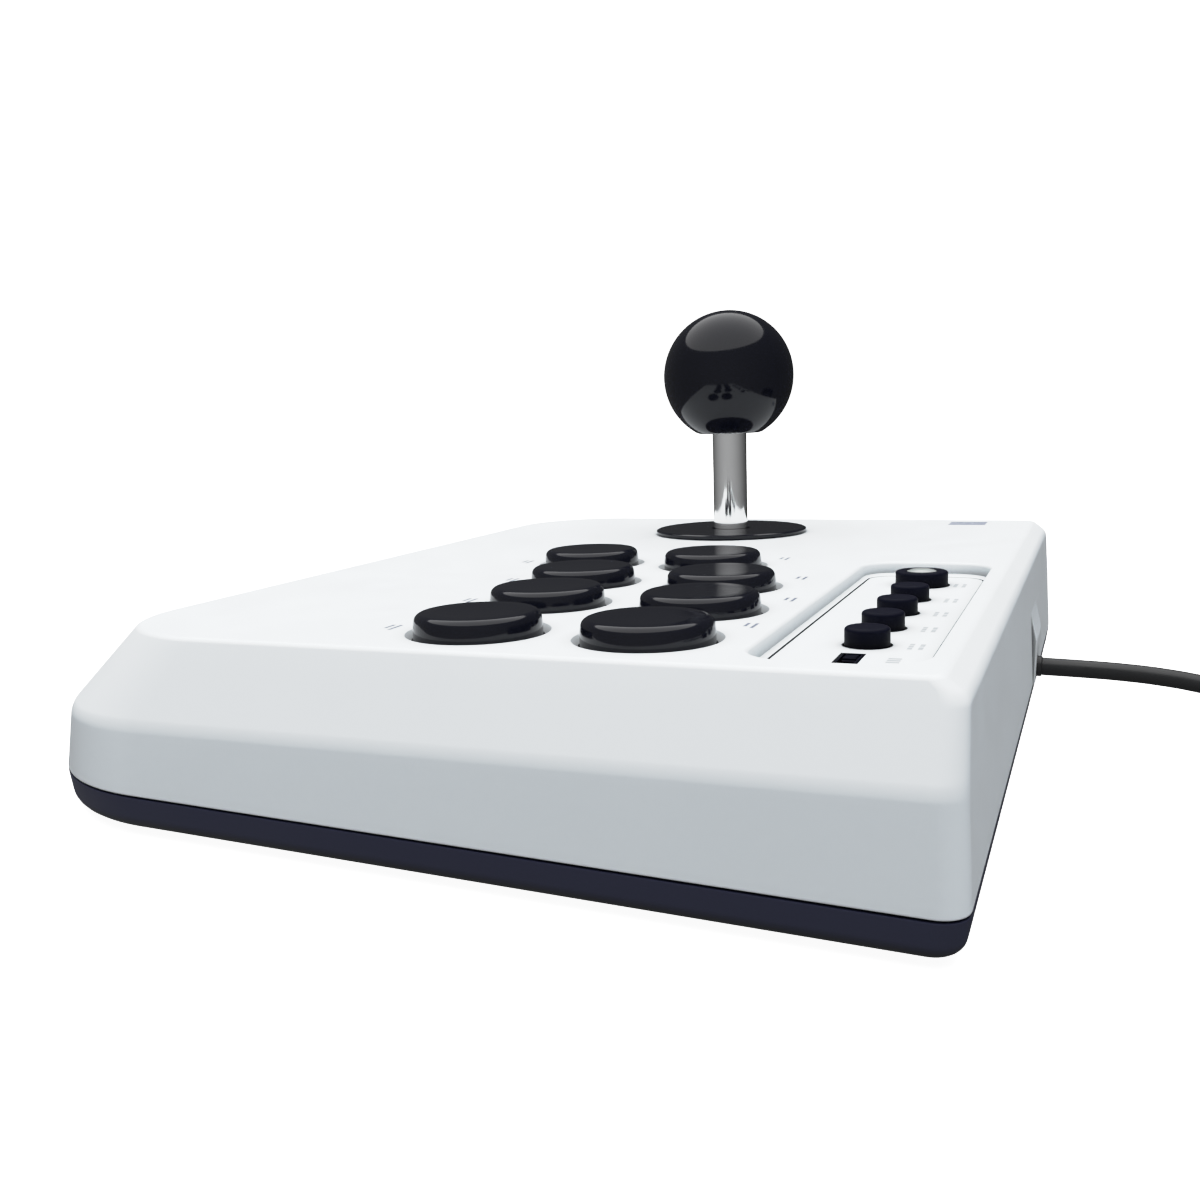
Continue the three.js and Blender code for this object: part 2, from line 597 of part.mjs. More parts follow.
function plugShell() {
  const { length, width, height, wall } = PLUG_SHELL;
  const outer = block(-height / 2, height / 2, -width / 2, width / 2, 0, length);
  const inner = block(-height / 2 + wall, height / 2 - wall, -width / 2 + wall, width / 2 - wall, 1, length + 1);
  return solid(outer).subtract(solid(inner));
}

const plug = new THREE.Group(); // its Z axis runs from the cable to the plug's mouth
plug.position.set(PLUG.x, PLUG.y, PLUG.z);
plug.rotation.y = -Math.PI / 2;
group.add(plug);
place(plug, 'usb_plug', plugBody(), BLACK_MATTE);
place(plug, 'usb_shell', plugShell(), STEEL).position.z = PLUG.relief + PLUG.length + GAP;

export default group;
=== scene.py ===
"""An arcade joystick panel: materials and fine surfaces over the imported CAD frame.

Sizes below are in millimetres unless a name says otherwise, and every mesh is written in metres.
"""

import json
import math

import bmesh
import bpy
import numpy as np
from mathutils import Matrix, Vector


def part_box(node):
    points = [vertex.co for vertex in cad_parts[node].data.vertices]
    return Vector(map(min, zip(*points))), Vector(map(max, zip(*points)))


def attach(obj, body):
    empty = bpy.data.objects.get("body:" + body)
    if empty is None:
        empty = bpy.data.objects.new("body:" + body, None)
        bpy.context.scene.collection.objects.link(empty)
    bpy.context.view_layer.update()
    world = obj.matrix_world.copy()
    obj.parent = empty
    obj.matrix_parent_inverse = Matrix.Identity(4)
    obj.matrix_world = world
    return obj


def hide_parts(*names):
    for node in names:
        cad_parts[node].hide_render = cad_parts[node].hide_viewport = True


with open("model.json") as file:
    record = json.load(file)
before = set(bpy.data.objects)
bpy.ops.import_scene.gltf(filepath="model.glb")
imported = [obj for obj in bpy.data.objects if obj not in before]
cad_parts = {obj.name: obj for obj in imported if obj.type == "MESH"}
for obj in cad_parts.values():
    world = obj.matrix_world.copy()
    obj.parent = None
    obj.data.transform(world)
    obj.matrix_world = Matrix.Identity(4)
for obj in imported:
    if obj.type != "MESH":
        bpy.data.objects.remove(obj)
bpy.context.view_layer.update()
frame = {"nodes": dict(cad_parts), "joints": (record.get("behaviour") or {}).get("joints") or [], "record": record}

MM = 0.001
SCENE = bpy.context.scene
NODES = frame["nodes"]

# ------------------------------------------------------------------ camera

SENSOR_WIDTH, FOCAL_LENGTH = 36, 37.37
CAMERA_PLACE = (259.4, 92.9, 73.45)
CAMERA_YAW, CAMERA_PITCH = 22.07, 9.83  # degrees


def add_camera():
    """The camera looks over the panel's right end, from a little above it."""
    data = bpy.data.cameras.new("camera")
    data.sensor_width = SENSOR_WIDTH
    data.lens = FOCAL_LENGTH
    data.clip_start = 0.01
    camera = bpy.data.objects.new("camera", data)
    SCENE.collection.objects.link(camera)
    yaw, pitch = math.radians(CAMERA_YAW), math.radians(CAMERA_PITCH)
    level = math.cos(pitch)
    forward = Vector((-math.cos(yaw) * level, -math.sin(yaw) * level, -math.sin(pitch)))
    camera.location = Vector(CAMERA_PLACE) * MM
    camera.rotation_euler = forward.to_track_quat("-Z", "Y").to_euler()
    SCENE.camera = camera


# ------------------------------------------------------------------ material nodes


class Nodes:
    """A material's node tree, with short calls for the nodes that the materials here share."""

    def __init__(self, name):
        self.material = bpy.data.materials.new(name)
        self.material.use_nodes = True
        self.tree = self.material.node_tree
        self.shader = self.tree.nodes["Principled BSDF"]
        self.place = self.tree.nodes.new("ShaderNodeTexCoord").outputs["Object"]

    def node(self, kind, inputs=(), **settings):
        made = self.tree.nodes.new(kind)
        for key, value in settings.items():
            setattr(made, key, value)
        for socket, value in dict(inputs).items():
            if isinstance(value, bpy.types.NodeSocket):
                self.tree.links.new(value, made.inputs[socket])
            else:
                made.inputs[socket].default_value = value
        return made

    def noise(self, size_mm, detail=2.0, roughness=0.5):
        """Noise whose features are about size_mm across."""
        inputs = {"Vector": self.place, "Scale": 1 / (size_mm * MM), "Detail": detail, "Roughness": roughness}
        return self.node("ShaderNodeTexNoise", inputs).outputs["Fac"]

    def ranged(self, value, low, high, new_low, new_high):
        inputs = {"Value": value, "From Min": low, "From Max": high, "To Min": new_low, "To Max": new_high}
        return self.node("ShaderNodeMapRange", inputs).outputs["Result"]

    def tinted(self, factor, first, second):
        """A colour between the first and the second, which can each come from another node."""
        inputs = {0: factor}
        for place, colour in ((6, first), (7, second)):
            inputs[place] = colour if isinstance(colour, bpy.types.NodeSocket) else (*colour, 1)
        return self.node("ShaderNodeMix", inputs, data_type="RGBA").outputs[2]

    def in_the_open(self, reach_mm):
        """0 in a tight corner and 1 on a free surface: the mask for the shade painted into corners."""
        shelter = self.node("ShaderNodeAmbientOcclusion", {"Distance": reach_mm * MM}, samples=8)
        return self.ranged(shelter.outputs["AO"], 0.45, 0.95, 0, 1)

    def levelness(self):
        """0 on an upright wall and 1 on a level face: the mask for the shade painted onto upright walls."""
        normal = self.node("ShaderNodeNewGeometry").outputs["Normal"]
        return self.ranged(self.node("ShaderNodeSeparateXYZ", {0: normal}).outputs["Z"], 0.2, 0.7, 0, 1)

    def set(self, **sockets):
        for name, value in sockets.items():
            socket = self.shader.inputs[name.replace("_", " ")]
            if isinstance(value, bpy.types.NodeSocket):
                self.tree.links.new(value, socket)
            else:
                socket.default_value = value
        return self

    def bump(self, height, depth_mm, strength=1.0):
        inputs = {"Height": height, "Distance": depth_mm * MM, "Strength": strength}
        normal = self.node("ShaderNodeBump", inputs).outputs["Normal"]
        return self.set(Normal=normal)


def moulded(name, colour, roughness, depth_mm=0.004, spread=0.05, ior=1.5):
    """Moulded plastic with a fine grain, faint flow marks, uneven gloss, and painted shade in its corners and on
    its walls.
    """
    nodes = Nodes(name)
    grain = nodes.noise(0.35, detail=3)
    flow = nodes.noise(38, detail=4, roughness=0.6)
    darker = tuple(channel * 0.965 for channel in colour)
    # Painted shade: in tight corners the colour darkens, to a tenth on upright walls and to half on level faces.
    painted_wall_shade, painted_level_shade = (tuple(channel * share for channel in colour) for share in (0.1, 0.5))
    shade = nodes.tinted(nodes.levelness(), painted_wall_shade, painted_level_shade)
    nodes.set(
        Base_Color=nodes.tinted(nodes.in_the_open(4), shade, nodes.tinted(flow, darker, colour)),
        Roughness=nodes.ranged(nodes.noise(9, detail=5), 0.3, 0.7, roughness - spread, roughness + spread),
        IOR=ior,
    )
    return nodes.bump(grain, depth_mm).material


def glossy(name, colour, roughness=0.07, ior=1.38):
    """Polished plastic with faint handling marks in its gloss."""
    nodes = Nodes(name)
    smears = nodes.noise(6, detail=6, roughness=0.65)
    ripple = nodes.noise(4, detail=1)
    lighter = tuple(channel * 1.35 + 0.001 for channel in colour)
    nodes.set(
        Base_Color=nodes.tinted(nodes.noise(15), colour, lighter),
        Roughness=nodes.ranged(smears, 0.35, 0.75, roughness, roughness + 0.07),
        IOR=ior,
    )
    return nodes.bump(ripple, 0.0015).material


def plated(name, colour, roughness, brushed=0.0):
    """Plated metal, smooth or with fine lines around it."""
    nodes = Nodes(name)
    lines = nodes.noise(0.5, detail=3)
    nodes.set(
        Base_Color=nodes.tinted(nodes.noise(5), colour, tuple(channel * 0.94 for channel in colour)),
        Metallic=1.0,
        Roughness=nodes.ranged(nodes.noise(3, detail=5), 0.3, 0.7, roughness, roughness * 1.6 + 0.01),
    )
    return nodes.bump(lines, 0.002 + brushed).material


def soft_rubber(name, colour, roughness, grain_mm=0.25):
    """Rubber or flexible vinyl with a dull bloom."""
    nodes = Nodes(name)
    bloom = nodes.noise(3, detail=4)
    nodes.set(
        Base_Color=nodes.tinted(bloom, colour, tuple(channel * 1.3 + 0.003 for channel in colour)),
        Roughness=nodes.ranged(bloom, 0.3, 0.7, roughness - 0.06, roughness + 0.06),
        IOR=1.48,
    )
    return nodes.bump(nodes.noise(grain_mm, detail=2), 0.006).material


def circuit_board(name):
    """Solder mask over copper: lighter traces show through a green lacquer."""
    nodes = Nodes(name)
    inputs = {"Vector": nodes.place, "Scale": 1 / (4 * MM), "Randomness": 1.0}
    cells = nodes.node("ShaderNodeTexVoronoi", inputs, feature="DISTANCE_TO_EDGE", distance="MANHATTAN")
    trace = nodes.ranged(cells.outputs["Distance"], 0.04, 0.09, 1, 0)
    nodes.set(
        Base_Color=nodes.tinted(trace, (0.012, 0.1, 0.04), (0.03, 0.19, 0.07)),
        Roughness=nodes.ranged(nodes.noise(8), 0.3, 0.7, 0.25, 0.4),
    )
    return nodes.bump(trace, 0.03).material


MATERIALS = {
    "shell_white": moulded("white_abs", (0.80, 0.84, 0.865), 0.45),
    "shell_dark": moulded("dark_abs", (0.023, 0.026, 0.06), 0.42),
    "button_black": glossy("gloss_black", (0.0035, 0.004, 0.0075)),
    "ball_black": glossy("ball_black", (0.003, 0.0034, 0.0065), ior=1.33),
    "inner_black": moulded("satin_black", (0.0022, 0.0027, 0.0088), 0.55, spread=0.07, ior=1.16),
    "silicone": soft_rubber("pale_silicone", (0.5, 0.52, 0.54), 0.6),
    "board": circuit_board("circuit_board"),
    "lens": glossy("pale_lens", (0.27, 0.285, 0.28), 0.12),
    "chrome": plated("chrome", (0.97, 0.965, 0.95), 0.05),
    "steel": plated("zinc_plate", (0.55, 0.56, 0.58), 0.28, brushed=0.004),
    "foot_rubber": soft_rubber("foot_rubber", (0.012, 0.012, 0.014), 0.75),
    "cable_jacket": soft_rubber("vinyl_jacket", (0.008, 0.008, 0.009), 0.38),
    "plug_metal": plated("nickel_plate", (0.62, 0.63, 0.64), 0.2, brushed=0.003),
    "print_grey": moulded("print_grey", (0.40, 0.43, 0.46), 0.5, depth_mm=0.001),
    "print_slate": moulded("print_slate", (0.19, 0.21, 0.25), 0.5, depth_mm=0.001),
    "print_dark": moulded("print_dark", (0.03, 0.034, 0.11), 0.4, depth_mm=0.001),
}

# ------------------------------------------------------------------ pieces and their places


def body_holding(node):
    """The name of the CAD body that a node belongs to."""
    bodies = frame["record"]["behaviour"]["bodies"]
    return next(name for name, members in bodies.items() if node in members)


def finished(piece, slot, body, *nodes):
    """Gives a new piece its material and its body, and hides the CAD nodes that it stands for."""
    piece.data.materials.clear()
    piece.data.materials.append(MATERIALS[slot])
    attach(piece, body)
    if nodes:
        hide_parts(*nodes)
    return piece


def axis_of(joint):
    return Vector(next(row["axis"] for row in frame["joints"] if row["name"] == joint))


PRESS = axis_of("press_button_1")
TILT = math.atan2(PRESS.y, -PRESS.z)
PANEL_HEIGHT = 34.17
SLOPE = math.tan(TILT)
PANEL = Matrix.Translation((0, 0, PANEL_HEIGHT)) @ Matrix.Rotation(TILT, 4, "X")


class Place:
    """Where a CAD node lies in the panel's own frame, whose z = 0 is the panel's upper face."""

    def __init__(self, node, matrix=PANEL):
        mesh = NODES[node].data
        points = np.zeros(len(mesh.vertices) * 3)
        mesh.vertices.foreach_get("co", points)
        inverse = np.array(matrix.inverted())
        local = points.reshape(-1, 3) / MM @ inverse[:3, :3].T + inverse[:3, 3]
        self.low_corner, self.high_corner = local.min(0), local.max(0)
        self.x, self.y, _ = (self.low_corner + self.high_corner) / 2
        self.low, self.high = self.low_corner[2], self.high_corner[2]
        self.radius = (self.high_corner[0] - self.low_corner[0]) / 2
        self.matrix = matrix @ Matrix.Translation((self.x, self.y, 0))


def mesh_object(name, points, faces, matrix=None):
    """A mesh from points in millimetres, put through matrix if one is given."""
    if matrix is not None:
        points = [matrix @ Vector(point) for point in points]
    mesh = bpy.data.meshes.new(name)
    mesh.from_pydata([tuple(np.array(point) * MM) for point in points], [], faces)
    mesh.validate()
    piece = bpy.data.objects.new(name, mesh)
    SCENE.collection.objects.link(piece)
    return piece


def modified(piece, kind, **settings):
    """Adds a modifier and applies it to the mesh."""
    modifier = piece.modifiers.new(kind, kind)
    for key, value in settings.items():
        setattr(modifier, key, value)
    evaluated = piece.evaluated_get(bpy.context.evaluated_depsgraph_get())
    mesh = bpy.data.meshes.new_from_object(evaluated)
    piece.modifiers.clear()
    old = piece.data
    piece.data = mesh
    bpy.data.meshes.remove(old)
    return piece


def smooth(piece, degrees=32):
    """Smooth shading that keeps real corners sharp and flat faces flat."""
    piece.data.shade_smooth()
    piece.data.set_sharp_from_angle(angle=math.radians(degrees))
    modifier = piece.modifiers.new("flat_faces", "WEIGHTED_NORMAL")
    modifier.keep_sharp = True
    modifier.weight = 90
    return piece


def cut(piece, *cutters, operation="DIFFERENCE"):
    """Cuts the other pieces from this one, or joins them to it, and deletes them."""
    for cutter in cutters:
        modified(piece, "BOOLEAN", operation=operation, object=cutter, solver="EXACT")
        mesh = cutter.data
        bpy.data.objects.remove(cutter)
        bpy.data.meshes.remove(mesh)
    return piece


# ------------------------------------------------------------------ shapes


def rounded(profile, steps=6):
    """A polyline of (radius, z, fillet) corners, each corner replaced by an arc of its fillet radius."""
    points = [np.array(corner[:2], float) for corner in profile]
    made = []
    for i, corner in enumerate(profile):
        fillet = corner[2] if len(corner) > 2 else 0
        here = points[i]
        if not fillet or i in (0, len(profile) - 1):
            made.append(here)
            continue
        back, ahead = points[i - 1] - here, points[i + 1] - here
        back, ahead = back / np.linalg.norm(back), ahead / np.linalg.norm(ahead)
        half = math.acos(np.clip(back @ ahead, -1, 1)) / 2
        reach = fillet / math.tan(half)
        middle = here + (back + ahead) / np.linalg.norm(back + ahead) * fillet / math.sin(half)
        start, end = here + back * reach - middle, here + ahead * reach - middle
        sweep = math.pi - 2 * half
        for step in range(steps + 1):
            share = step / steps
            mixed = (math.sin((1 - share) * sweep) * start + math.sin(share * sweep) * end) / math.sin(sweep)
            made.append(middle + mixed)
    return made


def turned(name, profile, matrix=None, segments=96, closed=False):
    """A surface of revolution about Z. A profile that isn't closed starts and ends on the axis."""
    rings = rounded(profile)
    points, faces, rows = [], [], []
    for radius, z in rings:
        if radius < 1e-6:
            rows.append([len(points)] * segments)
            points.append((0, 0, z))
            continue
        rows.append(range(len(points), len(points) + segments))
        angles = np.arange(segments) / segments * 2 * math.pi
        points += [(radius * math.cos(angle), radius * math.sin(angle), z) for angle in angles]
    pairs = list(zip(rows, rows[1:])) + ([(rows[-1], rows[0])] if closed else [])
    for lower, upper in pairs:
        for i in range(segments):
            j = (i + 1) % segments
            face = list(dict.fromkeys((lower[i], lower[j], upper[j], upper[i])))
            if len(face) > 2:
                faces.append(face)
    return mesh_object(name, points, faces, matrix)


def outline(left, right, front, back, front_corner, back_corner, steps, height_at):
    """Points around a rectangle with rounded corners, anticlockwise from above."""
    (front_x, front_y), (back_x, back_y) = front_corner, back_corner
    corners = [
        (right - back_x, back - back_y, back_x, back_y, steps[1]),
        (left + back_x, back - back_y, back_x, back_y, steps[1]),
        (left + front_x, front + front_y, front_x, front_y, steps[0]),
        (right - front_x, front + front_y, front_x, front_y, steps[0]),
    ]
    points = []
    for quarter, (x, y, radius_x, radius_y, count) in enumerate(corners):
        for step in range(count + 1):
            angle = (quarter + step / count) * math.pi / 2
            point_y = y + radius_y * math.sin(angle)
            points.append((x + radius_x * math.cos(angle), point_y, height_at(point_y)))
    return points


def loft(name, outlines, matrix=None, bevels=()):
    """A closed solid through outlines stacked upwards. bevels are (outline index, width, segments)."""
    count = len(outlines[0])
    points = [point for ring in outlines for point in ring]
    faces = [list(range(count))[::-1], list(range(count * (len(outlines) - 1), count * len(outlines)))]
    for ring in range(len(outlines) - 1):
        for i in range(count):
            j = (i + 1) % count
            lower, upper = ring * count, (ring + 1) * count
            faces.append((lower + i, lower + j, upper + j, upper + i))
    piece = mesh_object(name, points, faces, matrix)
    for ring, width, segments in bevels:
        bevel_ring(piece, range(ring * count, (ring + 1) * count), width, segments)
    return piece


def bevel_ring(piece, indices, width, segments):
    """Rounds the edges of one outline of a loft. Later outlines keep their indices if bevelled first."""
    mesh = bmesh.new()
    mesh.from_mesh(piece.data)
    mesh.verts.ensure_lookup_table()
    ring = set(indices)
    edges = [edge for edge in mesh.edges if all(vertex.index in ring for vertex in edge.verts)]
    bmesh.ops.bevel(mesh, geom=edges, offset=width * MM, offset_type="OFFSET", segments=segments, profile=0.5,
                    affect="EDGES", clamp_overlap=True)
    mesh.to_mesh(piece.data)
    mesh.free()


def box_piece(name, low, high, matrix=None, bevel=0.0, segments=3):
    """A box with rounded edges."""
    ring = [(low[0], low[1]), (high[0], low[1]), (high[0], high[1]), (low[0], high[1])]
    outlines = [[(x, y, z) for x, y in ring] for z in (low[2], high[2])]
    piece = loft(name, outlines, matrix)
    if bevel:
        modified(piece, "BEVEL", width=bevel * MM, segments=segments, limit_method="NONE")
    return piece


def rounded_plate(name, low, high, corner, matrix=None, bevel=0.0, steps=12):
    """A plate with rounded corners, and with rounded upper and lower edges if bevel is given."""
    corners = (corner, corner)
    outlines = [
        outline(low[0], high[0], low[1], high[1], corners, corners, (steps, steps), lambda _, z=z: z)
        for z in (low[2], high[2])
    ]
    return loft(name, outlines, matrix, bevels=[(1, bevel, 4), (0, bevel, 4)] if bevel else ())


# ------------------------------------------------------------------ cable

CABLE_RADIUS = 2.0
COIL = {"x": -68, "y": 160, "radius": 24, "columns": 5, "rows": 4, "pitch": 4.1, "low": 0.8}
CABLE_RUN = [
    (-33, 82.3, 10.6), (-33, 90, 10.7), (-33, 98, 10.7), (-32.9, 106, 10.4), (-32.8, 114, 9.6),
    (-32.7, 122, 8.2), (-32.7, 130, 6.2), (-32.9, 137, 4.4), (-33.5, 142, 3.3), (-34.1, 145.4, 2.8),
    (-34.9, 152, 2.8),
]
CABLE_LEAD = [
    (-46.2, 136.5, 16.4), (-40.9, 142.8, 18.2), (-37.6, 149.6, 19.9), (-36.6, 154, 20.8), (-36.1, 160, 21.6),
    (-37.6, 166.3, 22), (-42, 171.2, 22), (-48.5, 173, 22), (-51, 173, 22),
]


def coil_points(turns, per_turn=16):
    """The cable wound in rows: inwards along one row, outwards along the row above it, and so on."""
    half = (COIL["columns"] - 1) / 2 * COIL["pitch"]
    first_z = COIL["low"] + CABLE_RADIUS
    points = []
    for i in range(1, int(turns * per_turn) + 1):
        turn = i / per_turn
        row = min(int(turn / COIL["columns"]), COIL["rows"] - 1)
        along = turn - row * COIL["columns"]
        crossed = min(max(along - 0.5, 0), COIL["columns"] - 1) * COIL["pitch"]
        radius = COIL["radius"] + (half - crossed if row % 2 == 0 else crossed - half)
        climbed = row + max(along - COIL["columns"] + 0.5, 0) - max(0.5 - along, 0) * (row > 0)
        height = first_z + min(climbed, COIL["rows"] - 1) * COIL["pitch"]
        angle = turn * 2 * math.pi
        points.append((COIL["x"] + radius * math.cos(angle), COIL["y"] + radius * math.sin(angle), height))
    return points


def curve_through(name, points, radius):
    """A round cable along one smooth open curve through the points."""
    data = bpy.data.curves.new(name, "CURVE")
    data.dimensions = "3D"
    data.bevel_depth = radius * MM
    data.bevel_resolution = 5
    data.resolution_u = 4
    data.use_fill_caps = True
    spline = data.splines.new("BEZIER")
    spline.bezier_points.add(len(points) - 1)
    for handle, point in zip(spline.bezier_points, points):
        handle.co = Vector(point) * MM
        handle.handle_left_type = handle.handle_right_type = "AUTO"
    piece = bpy.data.objects.new(name, data)
    SCENE.collection.objects.link(piece)
    return piece


def add_cable():
    route = CABLE_RUN + coil_points(19.75) + CABLE_LEAD
    cable = finished(curve_through("usb_cable", route, CABLE_RADIUS), "cable_jacket", "case",
                     "cord_run", "cord_coil", "cord_lead")
    pieces = [add_plug_grip(), add_plug_shell(), add_plug_tongue(), add_tie()]


PLUG = Matrix.Translation((-51.3, 173, 22)) @ Matrix.Rotation(-math.pi / 2, 4, "Y")
PLUG_RELIEF = 10  # length of the ribbed strain relief
RELIEF_TAPER = 0.07  # growth of its radius along its length
RIB_PITCH = 1.6


def relief_profile():
    """A tapered sleeve with a groove before each rib."""
    rings = [(0, 0), (2.2, 0, 0.3)]
    for z in np.arange(RIB_PITCH, PLUG_RELIEF - 1, RIB_PITCH):
        growth = RELIEF_TAPER * z
        rings += [(2.25 + growth, z, 0.12), (1.9 + growth, z + 0.3, 0.12),
                  (1.9 + growth, z + 0.7, 0.12), (2.3 + growth, z + 1, 0.12)]
    return [*rings, (3.1, PLUG_RELIEF), (0, PLUG_RELIEF)]


def add_plug_grip():
    corner = Place("usb_plug", PLUG).high_corner
    low = (-corner[0], -corner[1], PLUG_RELIEF - 1)
    grip = rounded_plate("usb_plug_grip", low, corner, 2.2, PLUG, bevel=0.9)
    cut(grip, turned("relief", relief_profile(), PLUG, 40), operation="UNION")
    half_groove = corner[1] * 0.6
    for side in (-1, 1):
        x = side * corner[0]
        for z in np.arange(PLUG_RELIEF + 9, PLUG_RELIEF + 21, 2):
            groove_low, groove_high = (x - 0.35, -half_groove, z), (x + 0.35, half_groove, z + 0.8)
            cut(grip, box_piece("groove", groove_low, groove_high, PLUG))
    return finished(smooth(grip), "cable_jacket", "case", "usb_plug")


def add_plug_shell():
    place = Place("usb_shell", PLUG)
    low, high = place.low_corner, place.high_corner
    shell = box_piece("usb_plug_shell", low, high, PLUG, bevel=0.35)
    wall = 0.4
    mouth_low = (low[0] + wall, low[1] + wall, low[2] + 1)
    mouth_high = (high[0] - wall, high[1] - wall, high[2] + 1)
    cut(shell, box_piece("mouth", mouth_low, mouth_high, PLUG))
    for side in (-1, 1):
        x = (high[0] + low[0]) / 2 + side * high[0]
        for y in (-3, 3):
            window_low, window_high = (x - 1, y - 1.1, high[2] - 9), (x + 1, y + 1.1, high[2] - 6.8)
            cut(shell, box_piece("window", window_low, window_high, PLUG))
    return finished(smooth(shell), "plug_metal", "case", "usb_shell")


def add_plug_tongue():
    place = Place("usb_shell", PLUG)
    low = (-1.75, place.low_corner[1] + 0.6, place.low_corner[2] + 1.2)
    high = (-0.1, place.high_corner[1] - 0.6, place.high_corner[2] - 0.5)
    tongue = box_piece("usb_plug_tongue", low, high, PLUG, bevel=0.15)
    return finished(smooth(tongue), "inner_black", "case")


def add_tie():
    """A hook-and-loop strap around the coil."""
    half_bundle = (COIL["columns"] - 1) / 2 * COIL["pitch"] + CABLE_RADIUS
    inner, outer = COIL["radius"] - half_bundle, COIL["radius"] + half_bundle
    top = COIL["low"] + (COIL["rows"] - 1) * COIL["pitch"] + 2 * CABLE_RADIUS + 0.3
    across = Matrix.Rotation(math.pi / 2, 4, "X")
    middle = Matrix.Translation((COIL["x"] - COIL["radius"], COIL["y"], 0)) @ across
    half = (outer - inner) / 2 + 0.5
    low, high = (-half - 0.7, 0.05, -2.5), (half + 0.7, top + 0.8, 2.5)
    strap = rounded_plate("cable_tie", low, high, 3, middle, bevel=0.25)
    hole = rounded_plate("hole", (-half, 0.5, -4), (half, top, 4), 2.2, middle)
    return finished(smooth(cut(strap, hole)), "inner_black", "case", "cord_tie")


# ------------------------------------------------------------------ case

HALF_WIDTH, FRONT, BACK = 108, -82.25, 80.75
FOOT_HEIGHT, SEAM, GAP, WALL = 1.2, 7, 0.3, 2.5
EDGE_HEIGHT = 20.45
# How far each level of the case lies inside its widest outline, and the radii of its corners.
NO_INSET = {"side": 0, "front": 0, "back": 0, "front_corner": 31, "back_corner": 4.6}
FOOT_INSET = {"side": 0.8, "front": 1, "back": 0.7, "front_corner": 30.2, "back_corner": 4.6}
EDGE_INSET = {"side": 1.7, "front": 0.6, "back": 1.2, "front_corner": 30, "back_corner": 4.4}
SHOULDER_INSET = {"side": 6.8, "front": 11.4, "back": 2, "front_corner": 25.2, "back_corner": 3.4}
TOP_INSET = {"side": 8.1, "front": 14.1, "back": 5.5, "front_corner": 24, "back_corner": 2.2}
SHOULDER_SHARE = 0.8
CASE_STEPS = (28, 10)
# The rounded edges of the top shell, from its upper rim down: the outline, the width and the segments.
TOP_BEVELS = [(3, 0.75, 5), (2, 1.2, 4), (1, 1.3, 5), (0, 0.3, 2)]
RECESS = {"left": -10, "right": 95, "front": 45.8, "back": 72.8, "corner": 8, "depth": 2.3}
RECESS_RIM = 0.7  # radius of its rounded upper edge
RECESS_DRAFT = 1.1  # how far its walls lean in by the floor
RECESS_BACKING = (-13, 43, -5.4), (97.5, 75, -2), 6  # low corner, high corner, corner radius
PLATE_GAP = 0.42
PLATE_LEDGE = 2
BOSS = {"left": -45, "right": -27, "low": SEAM + GAP, "high": 25, "stand": 0.35, "edge": 0.35}
BOSS_SLOPE = {"height": 7.5, "depth": 1.9}
BUSHING = {"neck": 2.3, "shank": 2.5, "flange": 3.3}
CABLE_HOLE = {"mouth": 2.5, "inside": 2.8}
COUNTERSINK_RADIUS = 12
STICK_HOLE_RADIUS = 8.8
SCREW_HOLE = [(0, 0), (3.3, 0), (3.3, 2.4), (1.7, 2.4), (1.7, 8), (0, 8)]
FOOT_SEAT = [(0, 0), (6.3, 0), (6.3, 2.2), (0, 2.2)]


def case_outline(inset, wall, height_at):
    """The case's outline at one level, pulled in by that level's inset and by a wall's thickness."""
    side = HALF_WIDTH - inset["side"] - wall
    front_corner, back_corner = inset["front_corner"] - wall, max(inset["back_corner"] - wall, 1.3)
    return outline(-side, side, FRONT + inset["front"] + wall, BACK - inset["back"] - wall,
                   (front_corner, front_corner), (back_corner, back_corner), CASE_STEPS, height_at)


def top_body(name, wall, low, drop, bevels=()):
    shoulder = EDGE_HEIGHT + SHOULDER_SHARE * (PANEL_HEIGHT - EDGE_HEIGHT)
    return loft(name, [
        case_outline(NO_INSET, wall, lambda y: low),
        case_outline(EDGE_INSET, wall, lambda y: EDGE_HEIGHT - drop / 2 + SLOPE * y),
        case_outline(SHOULDER_INSET, wall, lambda y: shoulder - drop / 2 + SLOPE * y),
        case_outline(TOP_INSET, wall, lambda y: PANEL_HEIGHT - drop + SLOPE * y),
    ], bevels=bevels)


def recess_cutter():
    """The recess has a rounded rim, and steep walls that meet its floor in a sharp corner."""
    corner = RECESS["corner"]
    angles = np.linspace(1.5, 0.05, 8)
    rim = [(-RECESS_RIM * (1 - math.cos(angle)), RECESS_RIM * math.sin(angle)) for angle in angles]
    levels = []
    for z, inset in [(-RECESS["depth"], RECESS_DRAFT), *rim, (1, -0.4)]:
        narrower, back_inset = corner - inset, 0.5 * inset
        left, right = RECESS["left"] + inset, RECESS["right"] - inset
        front, back = RECESS["front"] + inset, RECESS["back"] - back_inset
        front_corner, back_corner = (narrower, narrower), (narrower, corner - back_inset)
        level = outline(left, right, front, back, front_corner, back_corner, (16, 16), lambda _, z=z: z)
        levels.append(level)
    return loft("recess_cutter", levels, PANEL)


def hole_cutter(node, radius, countersink):
    """A countersunk hole, whose lip reaches in over the button's sleeve."""
    lip = Place(node).radius + 0.28
    profile = [(0, -9), (radius, -9), (radius, -1.3), (lip, -0.95), (countersink, 0.12), (countersink, 2),
               (0, 2)]
    return turned("hole_cutter", profile, Place(node).matrix)


CAPS = sorted(name for name in NODES if name.startswith("button_cap_"))
OPTIONS = sorted(name for name in NODES if name.startswith("option_button_"))


